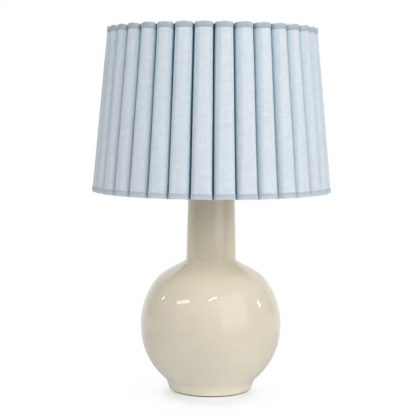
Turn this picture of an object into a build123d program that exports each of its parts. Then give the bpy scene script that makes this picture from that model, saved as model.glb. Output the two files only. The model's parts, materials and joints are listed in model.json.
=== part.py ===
from build123d import *
import os
from math import cos, hypot, pi, radians, sin, sqrt, tan

# Ceramic table lamp with a pleated empire shade.
# Millimetres, +Z up. The origin is on the table under the lamp's axis, and -Y is the front.

# Ceramic body: a ball on a low foot ring, with a tall neck
FELT_THICKNESS = 1.5
FELT_INSET = 2.0
FOOT_HEIGHT = 14.5
FOOT_BOTTOM_RADIUS = 61.7
FOOT_TOP_RADIUS = 66.9
FOOT_RING_WIDTH = 14.5
FOOT_EDGE_ROUND = 1.8
FOOT_HOLLOW = 20.0
BALL_RADIUS = 105.4
LOW_ARC_ANGLE = 25.0
SIDE_RADIUS = 112.0
SHOULDER_RADIUS = 60.0
SHOULDER_START = 35.0
SHOULDER_END = 62.0
NECK_BASE_RADIUS = 37.3
NECK_TOP_RADIUS = 34.6
NECK_HEIGHT = 111.26
NECK_HOLLOW = 5.0
NECK_RIM_ROUND = 2.0
CERAMIC_WALL = 6.0
FLOOR_THICKNESS = 9.0

# Flex inlet in a notch at the rear of the foot
CORD_BORE_RADIUS = 3.4
NOTCH_WIDTH = 10.4
NOTCH_HEIGHT = 10.4
NOTCH_CORNER_RADIUS = 3.2
GROMMET_CLEARANCE = 0.15
GROMMET_LIP = 1.4
GROMMET_LIP_THICKNESS = 1.5
GROMMET_LIP_CLEARANCE = 0.5

# Threaded tube and the clamp under the ceramic floor
TUBE_RADIUS = 5.0
TUBE_BORE_RADIUS = 3.5
TUBE_GROUND_CLEARANCE = 3.0
TUBE_END_LENGTH = 0.8
THREAD_CLEARANCE = 0.1
TUBE_HOLE_CLEARANCE = 1.5
FLOOR_GASKET_THICKNESS = 1.5
FLOOR_GASKET_RADIUS = 18.0
CLAMP_WASHER_THICKNESS = 2.0
CLAMP_WASHER_RADIUS = 20.0
LOCK_WASHER_THICKNESS = 1.2
LOCK_WASHER_RADIUS = 8.6
LOCK_WASHER_SLOT = 1.4
NUT_THICKNESS = 4.0
NUT_ACROSS_FLATS = 14.0
NUT_CHAMFER = 0.6

# Brass cap on the neck, its gasket and the turned collar above it
NECK_GASKET_THICKNESS = 1.2
NECK_GASKET_INSET = 1.0
NECK_CAP_WALL = 1.0
NECK_CAP_CLEARANCE = 0.5
NECK_CAP_SKIRT = 4.0
NECK_CAP_RISE = 5.0
NECK_CAP_CROWN_RADIUS = 13.0
NECK_CAP_ROUND = 1.6
COLLAR_HEIGHT = 13.0
COLLAR_BASE_RADIUS = 11.0
COLLAR_WAIST_RADIUS = 7.5
COLLAR_TOP_RADIUS = 9.0
COLLAR_BEAD = 2.0

# Lampholder shell
HOLDER_STEP = 0.8
HOLDER_WALL = 2.0
HOLDER_BOSS_WALL = 4.0
HOLDER_BOSS_HEIGHT = 5.0
HOLDER_DOME_HEIGHT = 8.0
HOLDER_LEDGE = 1.6
HOLDER_LIP = 0.5
TUBE_ENTRY_LENGTH = 2.0
SKIRT_GAP = 3.4
SKIRT_WALL = 2.2
SKIRT_HEIGHT = 36.0
SKIRT_FLANGE_WIDTH = 4.0
SKIRT_FLANGE_THICKNESS = 2.2
LOCK_SCREW_RADIUS = 1.5
LOCK_SCREW_PROUD = 1.0

# Working parts in the lampholder
INSERT_CLEARANCE = 0.3
SWITCH_BLOCK_HEIGHT = 13.5
TERMINAL_BLOCK_HEIGHT = 7.0
TERMINAL_HEAD_RADIUS = 2.8
TERMINAL_HEAD_HEIGHT = 1.8
TERMINAL_SLOT = 0.8
TERMINAL_OFFSET = 9.0
CONTACT_THICKNESS = 0.6
CONTACT_WIDTH = 6.0
CONTACT_REACH = 6.5
CONTACT_RISE = 3.6
SCREW_SHELL_WALL = 0.5
SCREW_SHELL_HEIGHT = 22.0

# Turn switch on the lampholder's side
SHAFT_RADIUS = 2.0
SHAFT_CLEARANCE = 0.1
SHAFT_DEPTH = 8.0
SHAFT_WINDOW_CLEARANCE = 0.6
KNOB_RADIUS = 6.2
KNOB_LENGTH = 11.0
KNOB_STANDOFF = 1.5
KNOB_SOCKET = 7.0
KNOB_EDGE_ROUND = 1.2
KNOB_FLUTES = 12
KNOB_FLUTE_RADIUS = 1.1

# Screw bulb
BULB_RADIUS = 30.0
BULB_LENGTH = 106.0
BULB_NECK_STEP = 0.5
BULB_GLASS_WALL = 0.9
BULB_CAP_RADIUS = 13.1
BULB_CAP_WALL = 0.4
BULB_CAP_LENGTH = 22.0
BULB_CAP_CLEARANCE = 0.4
BULB_INSULATOR_HEIGHT = 3.6
BULB_TIP_RADIUS = 4.6
BULB_TIP_HEIGHT = 1.6
BULB_CONTACT_GAP = 0.3

# Ring fitting that carries the shade on the lampholder
FITTER_CLEARANCE = 0.8
FITTER_WIDTH = 5.6
FITTER_THICKNESS = 2.0
SHADE_RING_CLEARANCE = 0.3
SHADE_RING_WIDTH = 8.0
SHADE_RING_HEIGHT = 8.0
SHADE_RING_LIFT = 0.2
SHADE_RING_NOTCHES = 16
SHADE_RING_NOTCH_RADIUS = 1.6

# Wire frame of the shade
WIRE_RADIUS = 1.6
WIRE_SEAT = 0.1
HOOP_INSET = 3.0
SPIDER_ARMS = 3
SPIDER_BACK_ANGLE = 90.0
SPIDER_KNOB_CLEARANCE = 18.0
SPIDER_BEND_RADIUS = 14.0

# Pleated shade: plan sizes of a pleat are those at the lower rim
SHADE_DROP = 57.5
SHADE_HEIGHT = 240.8
SHADE_BOTTOM_RADIUS = 177.2
SHADE_TOP_RADIUS = 154.2
PLEAT_COUNT = 34
PLEAT_DEPTH = 18.5
PLEAT_GAP = 2.8
PLEAT_FACE_RADIUS = 36.0
PLEAT_CORNER_RADIUS = 8.5
CLOTH_THICKNESS = 1.0
TOP_EDGE_DIP = 3.4
DIP_SHARES = {"crest": 0, "face_end": 0.3, "corner_middle": 0.6, "wall_top": 1, "wall_foot": 1}
TAPE_WIDTH = 8.0
TAPE_THICKNESS = 0.5
TAPE_GAP = 0.1
LINING_THICKNESS = 0.8
LINING_GAP = 0.3
LINING_INSET = 0.6
FRONT_ANGLE = -90.0
CUT_MARGIN = 4.0


def on_arc(centre, radius, degrees):
    """Point in (radius, height) on an arc, by its angle above the level of the centre."""
    angle = radians(degrees)
    return (centre[0] + radius * cos(angle), centre[1] + radius * sin(angle))


# Outline of the ball: round below its middle, fuller up its side, then a tight shoulder and a straight slope
foot_top_z = FELT_THICKNESS + FOOT_HEIGHT
ball_z = foot_top_z + sqrt(BALL_RADIUS**2 - FOOT_TOP_RADIUS**2)
side_centre = (BALL_RADIUS - SIDE_RADIUS, ball_z)
shoulder_start = on_arc(side_centre, SIDE_RADIUS, SHOULDER_START)
shoulder_centre = on_arc(shoulder_start, -SHOULDER_RADIUS, SHOULDER_START)
shoulder_end = on_arc(shoulder_centre, SHOULDER_RADIUS, SHOULDER_END)

# Heights of the stack, from the table up
neck_base_z = shoulder_end[1] + (shoulder_end[0] - NECK_BASE_RADIUS) / tan(radians(SHOULDER_END))
neck_top_z = neck_base_z + NECK_HEIGHT
tube_bottom_z = TUBE_GROUND_CLEARANCE
nut_z = tube_bottom_z + TUBE_END_LENGTH
lock_washer_z = nut_z + NUT_THICKNESS
clamp_washer_z = lock_washer_z + LOCK_WASHER_THICKNESS
floor_gasket_z = clamp_washer_z + CLAMP_WASHER_THICKNESS
floor_z = floor_gasket_z + FLOOR_GASKET_THICKNESS
floor_top_z = floor_z + FLOOR_THICKNESS
neck_plate_z = neck_top_z + NECK_GASKET_THICKNESS
collar_z = neck_plate_z + NECK_CAP_WALL + NECK_CAP_RISE
holder_z = collar_z + COLLAR_HEIGHT
holder_ledge_z = holder_z + HOLDER_BOSS_HEIGHT + HOLDER_DOME_HEIGHT
knob_z = holder_ledge_z + SWITCH_BLOCK_HEIGHT / 2
terminal_z = holder_ledge_z + SWITCH_BLOCK_HEIGHT
skirt_z = terminal_z + HOLDER_LIP
fitter_z = skirt_z + SKIRT_FLANGE_THICKNESS
shade_ring_z = fitter_z + FITTER_THICKNESS + SHADE_RING_LIFT
skirt_top_z = skirt_z + SKIRT_HEIGHT
shell_z = terminal_z + TERMINAL_BLOCK_HEIGHT
bulb_z = shell_z + CONTACT_RISE + BULB_CONTACT_GAP
bulb_insulator_z = bulb_z + BULB_TIP_HEIGHT
bulb_cap_z = bulb_insulator_z + BULB_INSULATOR_HEIGHT
bulb_neck_z = bulb_cap_z + BULB_CAP_LENGTH
bulb_centre_z = bulb_z + BULB_LENGTH - BULB_RADIUS
shade_bottom_z = fitter_z - SHADE_DROP
shade_top_z = shade_bottom_z + SHADE_HEIGHT
lining_bottom_z = shade_bottom_z + LINING_INSET
lining_top_z = shade_top_z - TOP_EDGE_DIP - LINING_INSET

# Radii that follow from what the piece fits
recess_radius = FOOT_BOTTOM_RADIUS - FOOT_RING_WIDTH
neck_bore_radius = NECK_TOP_RADIUS - CERAMIC_WALL
threaded_hole_radius = TUBE_RADIUS + THREAD_CLEARANCE
holder_boss_radius = TUBE_RADIUS + HOLDER_BOSS_WALL
screw_shell_radius = BULB_CAP_RADIUS + BULB_CAP_CLEARANCE
skirt_bore_radius = screw_shell_radius + SCREW_SHELL_WALL + SKIRT_GAP
skirt_radius = skirt_bore_radius + SKIRT_WALL
holder_radius = skirt_radius + HOLDER_STEP
holder_bore_radius = holder_radius - HOLDER_WALL
fitter_bore_radius = skirt_radius + FITTER_CLEARANCE
fitter_radius = fitter_bore_radius + FITTER_WIDTH
bulb_neck_radius = BULB_CAP_RADIUS + BULB_NECK_STEP
shaft_start_x = holder_bore_radius - INSERT_CLEARANCE - SHAFT_DEPTH
knob_x = holder_radius + KNOB_STANDOFF


def turned(sketch):
    """Solid of revolution of a profile drawn in (radius, height)."""
    return revolve(Plane.XZ * sketch, Axis.Z)


def profile(*points):
    """Closed straight-sided profile through (radius, height) points."""
    return make_face(Polyline(*points, close=True))


def rounded(sketch, point, radius):
    """The same profile with the corner at a point rounded off."""
    corner = sketch.vertices().sort_by_distance((point[0], point[1], 0))[0]
    return fillet(corner, radius)


def disc(radius, bore, z, height):
    """Flat ring with its underside at z."""
    ring = Circle(radius) - Circle(bore)
    return extrude(Pos(0, 0, z) * ring, height)


def polar_point(radius, angle):
    """Point in plan at an angle in radians."""
    return (radius * cos(angle), radius * sin(angle))


def crest_radius(z):
    """Radius of the pleats' crests at a height on the leaning shade."""
    share = (z - shade_bottom_z) / SHADE_HEIGHT
    return SHADE_BOTTOM_RADIUS + share * (SHADE_TOP_RADIUS - SHADE_BOTTOM_RADIUS)


def valley_radius(z):
    """Radius of the bottom of the folds between the pleats."""
    crest = crest_radius(z)
    return crest - PLEAT_DEPTH * crest / SHADE_BOTTOM_RADIUS


def lining_radius(z):
    """Outer radius of the drum that the folds are sewn to."""
    return valley_radius(z) - CLOTH_THICKNESS - LINING_GAP


def hoop_radius(z):
    """Centre radius of a wire hoop seated inside the lining."""
    lean = hypot(SHADE_HEIGHT, SHADE_BOTTOM_RADIUS - SHADE_TOP_RADIUS) / SHADE_HEIGHT
    return lining_radius(z) - (LINING_THICKNESS + WIRE_SEAT + WIRE_RADIUS) * lean


def ceramic_body():
    """Hollow ball, neck and foot, turned as one profile, with the notch for the flex."""
    cavity_radius = BALL_RADIUS - CERAMIC_WALL
    cavity_neck_z = ball_z + sqrt(cavity_radius**2 - neck_bore_radius**2)
    cavity_floor_radius = sqrt(cavity_radius**2 - (ball_z - floor_top_z) ** 2)
    hole_radius = TUBE_RADIUS + TUBE_HOLE_CLEARANCE
    foot_top = (FOOT_TOP_RADIUS, foot_top_z)
    neck_base = (NECK_BASE_RADIUS, neck_base_z)
    neck_bore_base = (neck_bore_radius, cavity_neck_z)
    cavity_floor = (cavity_floor_radius, floor_top_z)
    ball_side = (BALL_RADIUS, ball_z)
    ball_low = on_arc((0, ball_z), BALL_RADIUS, -LOW_ARC_ANGLE)
    side_middle = on_arc(side_centre, SIDE_RADIUS, SHOULDER_START / 2)
    shoulder_middle = on_arc(shoulder_centre, SHOULDER_RADIUS, (SHOULDER_START + SHOULDER_END) / 2)
    neck_rim = (NECK_TOP_RADIUS, neck_top_z)
    outside = [
        Polyline((recess_radius, FELT_THICKNESS), (FOOT_BOTTOM_RADIUS, FELT_THICKNESS), foot_top),
        ThreePointArc(foot_top, ball_low, ball_side),
        ThreePointArc(ball_side, side_middle, shoulder_start),
        ThreePointArc(shoulder_start, shoulder_middle, shoulder_end),
        Polyline(shoulder_end, neck_base, neck_rim, (neck_bore_radius, neck_top_z), neck_bore_base),
    ]
    inside = [
        ThreePointArc(neck_bore_base, (cavity_radius, ball_z), cavity_floor),
        Polyline(
            cavity_floor,
            (hole_radius, floor_top_z),
            (hole_radius, floor_z),
            (recess_radius, floor_z),
            (recess_radius, FELT_THICKNESS),
        ),
    ]
    section = make_face(Curve() + outside + inside)
    section = rounded(section, foot_top, FOOT_HOLLOW)
    section = rounded(section, neck_base, NECK_HOLLOW)
    section = rounded(section, (FOOT_BOTTOM_RADIUS, FELT_THICKNESS), FOOT_EDGE_ROUND)
    section = rounded(section, neck_rim, NECK_RIM_ROUND)
    return turned(section) - notch_form(0, recess_radius - CUT_MARGIN, BALL_RADIUS, CUT_MARGIN)


def notch_form(grow, y_start, y_end, depth=0.0):
    """Bar along +Y with rounded top corners that stands on the felt, or reaches depth below it."""
    width = NOTCH_WIDTH + 2 * grow
    height = NOTCH_HEIGHT + grow + depth
    section = Pos(0, height / 2 - depth) * Rectangle(width, height)
    section = fillet(section.vertices().group_by(Axis.Y)[-1], NOTCH_CORNER_RADIUS)
    plane = Plane(origin=(0, y_start, FELT_THICKNESS), x_dir=(-1, 0, 0), z_dir=(0, 1, 0))
    return extrude(plane * section, y_end - y_start)


def felt_pad():
    """Felt ring under the foot, set in from its edge."""
    return disc(FOOT_BOTTOM_RADIUS - FELT_INSET, recess_radius + FELT_INSET, 0, FELT_THICKNESS)


def foot_cone(grow):
    """The foot's tapered outside as a full cone, grown by a clearance."""
    bottom = (FOOT_BOTTOM_RADIUS + grow, FELT_THICKNESS)
    top = (FOOT_TOP_RADIUS + grow, foot_top_z)
    return turned(profile((0, FELT_THICKNESS), bottom, top, (0, foot_top_z)))


def cord_grommet():
    """Rubber inlet in the notch, with a lip shaped to the outside of the foot and its bore along Y."""
    inner_y = recess_radius
    outer_y = max(FOOT_BOTTOM_RADIUS, FOOT_TOP_RADIUS) + GROMMET_LIP_THICKNESS
    body = notch_form(-GROMMET_CLEARANCE, inner_y, outer_y)
    lip = notch_form(GROMMET_LIP, inner_y, outer_y) - foot_cone(GROMMET_LIP_CLEARANCE)
    plane = Plane(origin=(0, inner_y, FELT_THICKNESS + NOTCH_HEIGHT / 2), z_dir=(0, 1, 0))
    return body + lip - extrude(plane * Circle(CORD_BORE_RADIUS), outer_y - inner_y)


def threaded_tube():
    """All-thread tube from under the clamp nut up into the lampholder."""
    top_z = holder_z + HOLDER_BOSS_HEIGHT + TUBE_ENTRY_LENGTH
    return disc(TUBE_RADIUS, TUBE_BORE_RADIUS, tube_bottom_z, top_z - tube_bottom_z)


def floor_gasket():
    """Rubber washer against the underside of the ceramic floor."""
    return disc(FLOOR_GASKET_RADIUS, threaded_hole_radius, floor_gasket_z, FLOOR_GASKET_THICKNESS)


def clamp_washer():
    """Steel washer that spreads the clamp's load."""
    return disc(CLAMP_WASHER_RADIUS, threaded_hole_radius, clamp_washer_z, CLAMP_WASHER_THICKNESS)


def lock_washer():
    """Split spring washer under the nut."""
    ring = disc(LOCK_WASHER_RADIUS, threaded_hole_radius, lock_washer_z, LOCK_WASHER_THICKNESS)
    slot = Pos(LOCK_WASHER_RADIUS, 0, lock_washer_z) * Box(
        2 * (LOCK_WASHER_RADIUS - TUBE_BORE_RADIUS), LOCK_WASHER_SLOT, 3 * LOCK_WASHER_THICKNESS
    )
    return ring - slot


def clamp_nut():
    """Thin hexagon nut with chamfered corners."""
    hexagon = RegularPolygon(NUT_ACROSS_FLATS / 2, 6, major_radius=False)
    nut = extrude(Pos(0, 0, nut_z) * (hexagon - Circle(threaded_hole_radius)), NUT_THICKNESS)
    corner_radius = NUT_ACROSS_FLATS / 2 / cos(pi / 6)
    blank = profile(
        (0, nut_z),
        (corner_radius - NUT_CHAMFER, nut_z),
        (corner_radius, nut_z + NUT_CHAMFER),
        (corner_radius, nut_z + NUT_THICKNESS),
        (0, nut_z + NUT_THICKNESS),
    )
    return nut & turned(blank)


def neck_gasket():
    """Rubber ring on the ceramic rim, under the brass cap."""
    outer = NECK_TOP_RADIUS - NECK_RIM_ROUND - NECK_GASKET_INSET / 2
    return disc(outer, neck_bore_radius + NECK_GASKET_INSET, neck_top_z, NECK_GASKET_THICKNESS)


def neck_cap():
    """Spun brass cap over the neck's rim, rising to a flat crown."""
    lean = (NECK_BASE_RADIUS - NECK_TOP_RADIUS) / NECK_HEIGHT
    inner = NECK_TOP_RADIUS + lean * NECK_CAP_SKIRT + NECK_CAP_CLEARANCE
    outer = inner + NECK_CAP_WALL
    skirt_bottom = neck_top_z - NECK_CAP_SKIRT
    plate_top = neck_plate_z + NECK_CAP_WALL
    shoulder = (outer, plate_top)
    crown = (NECK_CAP_CROWN_RADIUS, collar_z)
    section = profile(
        (inner, skirt_bottom),
        (outer, skirt_bottom),
        shoulder,
        crown,
        (threaded_hole_radius, collar_z),
        (threaded_hole_radius, collar_z - NECK_CAP_WALL),
        (NECK_CAP_CROWN_RADIUS - NECK_CAP_WALL, collar_z - NECK_CAP_WALL),
        (neck_bore_radius, neck_plate_z),
        (inner, neck_plate_z),
    )
    section = rounded(section, shoulder, NECK_CAP_ROUND)
    section = rounded(section, crown, NECK_CAP_ROUND)
    return turned(section)


def collar():
    """Turned brass spacer with a drawn-in waist between two beads."""
    top_z = collar_z + COLLAR_HEIGHT
    bead_top = (COLLAR_BASE_RADIUS, collar_z + COLLAR_BEAD)
    lip_bottom = (COLLAR_TOP_RADIUS, top_z - COLLAR_BEAD)
    waist = (COLLAR_WAIST_RADIUS, collar_z + COLLAR_HEIGHT / 2)
    outline = [
        Polyline((threaded_hole_radius, collar_z), (COLLAR_BASE_RADIUS, collar_z), bead_top),
        ThreePointArc(bead_top, waist, lip_bottom),
        Polyline(
            lip_bottom,
            (COLLAR_TOP_RADIUS, top_z),
            (threaded_hole_radius, top_z),
            (threaded_hole_radius, collar_z),
        ),
    ]
    return turned(make_face(Curve() + outline))


def radial_bar(radius, x_start, length, z):
    """Round bar along +X, for the switch shaft and what it passes through."""
    return extrude(Plane(origin=(x_start, 0, z), z_dir=(1, 0, 0)) * Circle(radius), length)


def lock_screw_bar(clearance=0.0):
    """Grub screw's form in the boss, on the front of the lampholder."""
    length = holder_boss_radius + LOCK_SCREW_PROUD - threaded_hole_radius
    start = (0, -threaded_hole_radius, holder_z + HOLDER_BOSS_HEIGHT / 2)
    plane = Plane(origin=start, x_dir=(1, 0, 0), z_dir=(0, -1, 0))
    return extrude(plane * Circle(LOCK_SCREW_RADIUS + clearance), length)


def lock_screw():
    """Grub screw that grips the threaded tube."""
    return lock_screw_bar()


def lampholder_cap():
    """Lower half of the shell: boss, dome and a barrel with a ledge for the switch block."""
    dome_base_z = holder_z + HOLDER_BOSS_HEIGHT
    ledge_radius = holder_bore_radius - HOLDER_LEDGE
    shoulder = (holder_radius, holder_ledge_z)
    boss_top = (holder_boss_radius, dome_base_z)
    outline = [
        Polyline((threaded_hole_radius, holder_z), (holder_boss_radius, holder_z), boss_top),
        RadiusArc(boss_top, shoulder, -holder_radius),
        Polyline(
            shoulder,
            (holder_radius, skirt_z),
            (holder_bore_radius, skirt_z),
            (holder_bore_radius, holder_ledge_z),
            (ledge_radius, holder_ledge_z),
            (holder_boss_radius, dome_base_z + HOLDER_WALL),
            (threaded_hole_radius, dome_base_z + HOLDER_WALL),
            (threaded_hole_radius, holder_z),
        ),
    ]
    shell = turned(make_face(Curve() + outline))
    window = radial_bar(SHAFT_RADIUS + SHAFT_WINDOW_CLEARANCE, ledge_radius, holder_radius, knob_z)
    return shell - window - lock_screw_bar(THREAD_CLEARANCE)


def lampholder_skirt():
    """Upper half of the shell: a shoulder flange and the tube that the shade ring screws on."""
    flange_radius = skirt_radius + SKIRT_FLANGE_WIDTH
    flange_top = skirt_z + SKIRT_FLANGE_THICKNESS
    section = profile(
        (skirt_bore_radius, skirt_z),
        (flange_radius, skirt_z),
        (flange_radius, flange_top),
        (skirt_radius, flange_top),
        (skirt_radius, skirt_top_z),
        (skirt_bore_radius, skirt_top_z),
    )
    section = rounded(section, (skirt_radius, skirt_top_z), SKIRT_WALL / 3)
    return turned(section)


def switch_block():
    """Moulded block on the ledge, with the bearing hole for the switch shaft."""
    radius = holder_bore_radius - INSERT_CLEARANCE
    block = disc(radius, TUBE_BORE_RADIUS, holder_ledge_z, SWITCH_BLOCK_HEIGHT)
    start = shaft_start_x - INSERT_CLEARANCE
    return block - radial_bar(SHAFT_RADIUS + SHAFT_CLEARANCE, start, holder_radius, knob_z)


def terminal_block():
    """Porcelain disc that carries the screw shell and the centre contact."""
    radius = skirt_bore_radius - INSERT_CLEARANCE
    return extrude(Pos(0, 0, terminal_z) * Circle(radius), TERMINAL_BLOCK_HEIGHT)


def terminal_screws():
    """Two slotted terminal screws under the switch block."""
    bottom = holder_ledge_z - TERMINAL_HEAD_HEIGHT
    screws = Part()
    for side in (-1, 1):
        head = extrude(Circle(TERMINAL_HEAD_RADIUS), TERMINAL_HEAD_HEIGHT)
        slot = Box(2 * TERMINAL_HEAD_RADIUS, TERMINAL_SLOT, TERMINAL_HEAD_HEIGHT)
        screws += Pos(0, side * TERMINAL_OFFSET, bottom) * (head - slot)
    return screws


def centre_contact():
    """Sprung brass strip folded back over itself, up to just under the bulb's tip."""
    fold_x = -CONTACT_REACH
    top = CONTACT_RISE
    points = [
        (CONTACT_REACH, 0),
        (CONTACT_REACH, CONTACT_THICKNESS),
        (fold_x + CONTACT_THICKNESS, CONTACT_THICKNESS),
        (0, top - CONTACT_THICKNESS),
        (CONTACT_REACH / 2, top - CONTACT_THICKNESS),
        (CONTACT_REACH / 2, top),
        (0, top),
        (fold_x, CONTACT_THICKNESS),
        (fold_x, 0),
    ]
    strip = Pos(0, 0, shell_z) * (Plane.XZ * make_face(Polyline(*points, close=True)))
    return extrude(strip, CONTACT_WIDTH / 2, both=True)


def screw_shell():
    """Thin brass shell that the bulb's cap screws into."""
    return disc(screw_shell_radius + SCREW_SHELL_WALL, screw_shell_radius, shell_z, SCREW_SHELL_HEIGHT)


def switch_shaft():
    """Brass shaft from the switch block out into the knob."""
    end = knob_x + KNOB_SOCKET
    return radial_bar(SHAFT_RADIUS, shaft_start_x, end - shaft_start_x, knob_z)


def switch_knob():
    """Fluted turn knob with a blind socket for the shaft."""
    knob = radial_bar(KNOB_RADIUS, knob_x, KNOB_LENGTH, knob_z)
    rim = knob.edges().filter_by(GeomType.CIRCLE).sort_by(Axis.X)[-1]
    knob = fillet(rim, KNOB_EDGE_ROUND)
    for index in range(KNOB_FLUTES):
        y, dz = polar_point(KNOB_RADIUS + KNOB_FLUTE_RADIUS / 2, 2 * pi * index / KNOB_FLUTES)
        knob -= Pos(0, y, dz) * radial_bar(KNOB_FLUTE_RADIUS, knob_x, KNOB_LENGTH, knob_z)
    return knob - radial_bar(SHAFT_RADIUS + SHAFT_CLEARANCE / 2, knob_x, KNOB_SOCKET, knob_z)


def bulb_profile(wall):
    """Half section of the bulb from its crown to its neck, set in by a wall."""
    radius = BULB_RADIUS - wall
    tilt = (bulb_centre_z - bulb_neck_z) / (3 * BULB_RADIUS)
    crown = (0, bulb_centre_z + radius)
    side = (radius, bulb_centre_z)
    join = (radius * cos(tilt), bulb_centre_z - radius * sin(tilt))
    neck = (bulb_neck_radius - wall, bulb_neck_z)
    outline = [
        ThreePointArc(crown, side, join),
        TangentArc(join, neck, tangent=(-sin(tilt), -cos(tilt))),
        Polyline(neck, (0, bulb_neck_z), crown),
    ]
    return make_face(Curve() + outline)


def bulb_glass():
    """Opal glass envelope, hollow and open at its neck."""
    return turned(bulb_profile(0)) - turned(bulb_profile(BULB_GLASS_WALL))


def bulb_cap():
    """Metal screw cap under the glass."""
    return disc(BULB_CAP_RADIUS, BULB_CAP_RADIUS - BULB_CAP_WALL, bulb_cap_z, BULB_CAP_LENGTH)


def bulb_insulator():
    """Dark glass cone between the screw cap and the tip."""
    return turned(
        profile(
            (0, bulb_insulator_z),
            (BULB_TIP_RADIUS, bulb_insulator_z),
            (BULB_CAP_RADIUS, bulb_cap_z),
            (0, bulb_cap_z),
        )
    )


def bulb_tip():
    """Soldered contact at the bulb's foot."""
    low = (0, bulb_z)
    edge = (BULB_TIP_RADIUS, bulb_insulator_z)
    sphere_radius = (BULB_TIP_RADIUS**2 + BULB_TIP_HEIGHT**2) / (2 * BULB_TIP_HEIGHT)
    outline = [RadiusArc(low, edge, -sphere_radius), Polyline(edge, (0, bulb_insulator_z), low)]
    return turned(make_face(Curve() + outline))


def fitter_ring():
    """Flat ring that rests on the lampholder's shoulder."""
    return disc(fitter_radius, fitter_bore_radius, fitter_z, FITTER_THICKNESS)


def shade_ring():
    """Threaded ring that holds the fitter down, notched for the fingers."""
    bore = skirt_radius + SHADE_RING_CLEARANCE
    outer = bore + SHADE_RING_WIDTH
    ring = disc(outer, bore, shade_ring_z, SHADE_RING_HEIGHT)
    for index in range(SHADE_RING_NOTCHES):
        x, y = polar_point(outer + SHADE_RING_NOTCH_RADIUS / 2, 2 * pi * index / SHADE_RING_NOTCHES)
        ring -= extrude(Pos(x, y, shade_ring_z) * Circle(SHADE_RING_NOTCH_RADIUS), SHADE_RING_HEIGHT)
    return ring


def hoop(z):
    """Wire hoop at a height on the shade."""
    section = Pos(hoop_radius(z), z) * Circle(WIRE_RADIUS)
    return turned(section)


def top_wire_ring():
    """Hoop inside the shade's top edge."""
    return hoop(lining_top_z - HOOP_INSET)


def bottom_wire_ring():
    """Hoop inside the shade's lower edge, which carries the spider."""
    return hoop(lining_bottom_z + HOOP_INSET)


def spider_arms():
    """Bent wires from the fitter ring down to the lower hoop, cut to meet both."""
    hoop_z = lining_bottom_z + HOOP_INSET
    arm_z = fitter_z + FITTER_THICKNESS - WIRE_RADIUS
    start_x = fitter_bore_radius + FITTER_WIDTH / 2
    knee_x = knob_x + KNOB_LENGTH + SPIDER_KNOB_CLEARANCE
    path = FilletPolyline(
        (start_x, 0, arm_z), (knee_x, 0, arm_z), (hoop_radius(hoop_z), 0, hoop_z), radius=SPIDER_BEND_RADIUS
    )
    arm = sweep(Plane(origin=(start_x, 0, arm_z), z_dir=(1, 0, 0)) * Circle(WIRE_RADIUS), path=path)
    ring_core = extrude(Pos(0, 0, arm_z) * Circle(fitter_radius), 2 * WIRE_RADIUS, both=True)
    arm = arm - ring_core - hoop(hoop_z)
    arm = arm.solids().sort_by(SortBy.VOLUME)[-1]
    arms = Part()
    for index in range(SPIDER_ARMS):
        arms += Rot(0, 0, SPIDER_BACK_ANGLE + 360 * index / SPIDER_ARMS) * arm
    return arms


def fold_points(z, grow):
    """Half of one pleat at a height, its crest on angle 0, grown outwards by a distance.

    The face is an arc, each side wall is parallel to the middle of the gap beside it,
    and a corner arc joins the two.
    """
    crest = crest_radius(z)
    scale = crest / SHADE_BOTTOM_RADIUS
    half_pitch = pi / PLEAT_COUNT
    face_radius = PLEAT_FACE_RADIUS * scale + grow
    corner_radius = PLEAT_CORNER_RADIUS * scale + grow
    half_gap = PLEAT_GAP / 2 * scale - grow
    face_centre = crest - PLEAT_FACE_RADIUS * scale
    along = Vector(cos(half_pitch), sin(half_pitch))
    across = Vector(-sin(half_pitch), cos(half_pitch))
    side = face_centre * sin(half_pitch) - half_gap - corner_radius
    run = face_centre * cos(half_pitch) + sqrt((face_radius - corner_radius) ** 2 - side**2)
    corner = along * run - across * (half_gap + corner_radius)
    outward = (corner - Vector(face_centre, 0)).normalized()
    return {
        "crest": Vector(crest + grow, 0),
        "face_end": corner + outward * corner_radius,
        "corner_middle": corner + (outward + across).normalized() * corner_radius,
        "wall_top": corner + across * corner_radius,
        "wall_foot": along * (valley_radius(z) + grow) - across * half_gap,
    }


def pleated_rim(z, grow, dip=0.0):
    """Edges of the pleated outline at a height, with a gap at the front.

    With a dip, the outline falls by that much from the crests into the gaps.
    """
    half = {}
    for name, share in DIP_SHARES.items():
        point_z = z - share * dip
        half[name] = fold_points(point_z, grow)[name] + Vector(0, 0, point_z)

    def place(name, side, angle):
        point = half[name]
        return (Rot(0, 0, angle) * Pos(point.X, side * point.Y, point.Z)).position

    pitch = 360 / PLEAT_COUNT
    edges = []
    for index in range(PLEAT_COUNT):
        turn = FRONT_ANGLE + pitch * (index + 0.5)
        left = {name: place(name, -1, turn) for name in half}
        right = {name: place(name, 1, turn) for name in half}
        next_foot = place("wall_foot", -1, turn + pitch)
        edges += [
            Edge.make_line(left["wall_foot"], left["wall_top"]),
            Edge.make_three_point_arc(left["wall_top"], left["corner_middle"], left["face_end"]),
            Edge.make_three_point_arc(left["face_end"], left["crest"], right["face_end"]),
            Edge.make_three_point_arc(right["face_end"], right["corner_middle"], right["wall_top"]),
            Edge.make_line(right["wall_top"], right["wall_foot"]),
            Edge.make_line(right["wall_foot"], next_foot),
        ]
    return edges


def ruled_faces(edges, opposite):
    """Ruled face between each edge of one outline and the same edge of another."""
    return [Face.make_surface_from_curves(edge, other) for edge, other in zip(edges, opposite)]


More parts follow.
